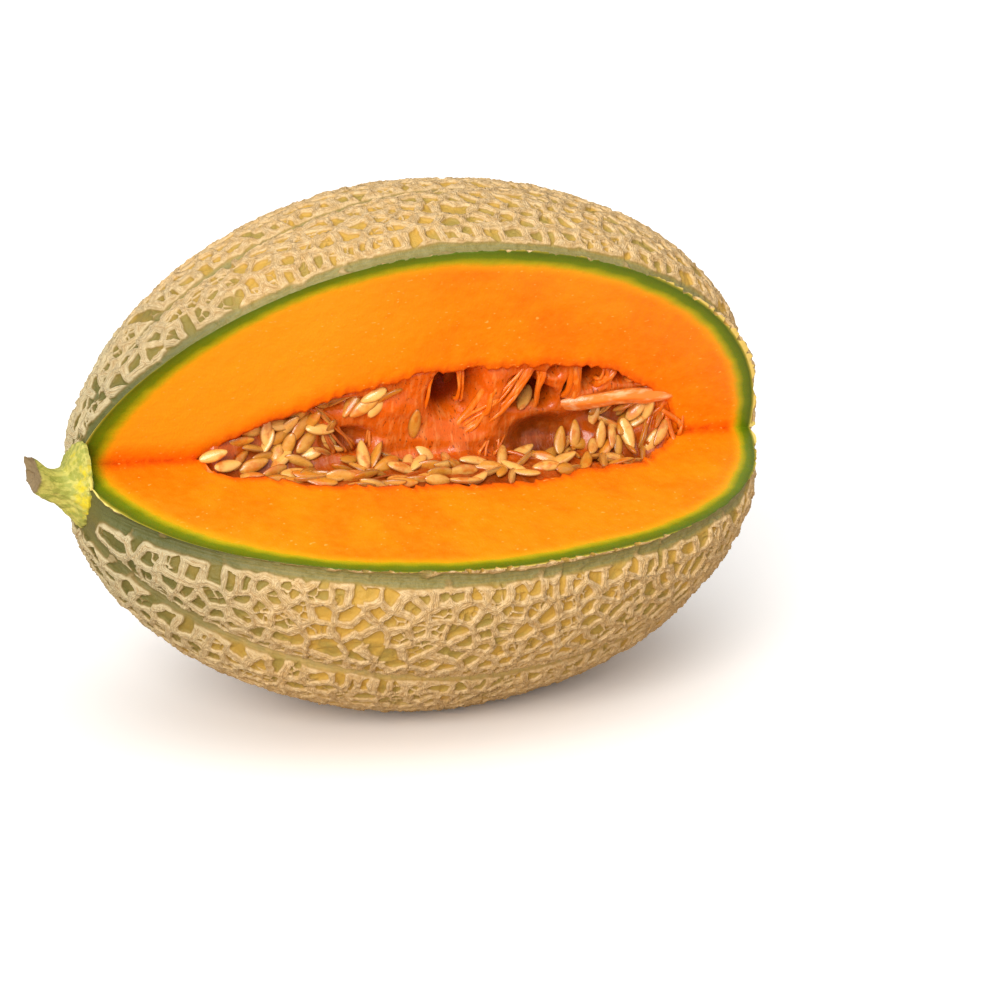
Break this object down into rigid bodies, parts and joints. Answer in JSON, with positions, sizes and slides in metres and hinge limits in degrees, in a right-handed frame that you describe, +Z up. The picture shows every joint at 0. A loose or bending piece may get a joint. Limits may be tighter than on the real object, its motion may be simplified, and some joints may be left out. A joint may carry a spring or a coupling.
{
  "type": "cantaloupe melon",
  "caption": "Netted, ribbed cantaloupe melon lying on its side with a wedge cut out, showing orange flesh and the seed cavity, with a short stem.",
  "frame": {"origin": "centre of the flat spot that the melon rests on", "axes": "+X along the melon's long axis, from the stem end to the blossom end; +Z up; the cut-out wedge opens towards -Y"},
  "size_m": [0.2345, 0.158, 0.1572],
  "materials": {
    "rind": "dry tan net over ochre-green skin",
    "flesh": "moist orange flesh",
    "pulp": "wet orange-red pulp",
    "seed": "wet tan seed coat",
    "stem": "matt yellow-green stalk"
  },
  "bodies": {
    "root": {"fruit": "rind", "seed_pulp": "pulp", "stem": "stem"}
  },
  "joints": []
}
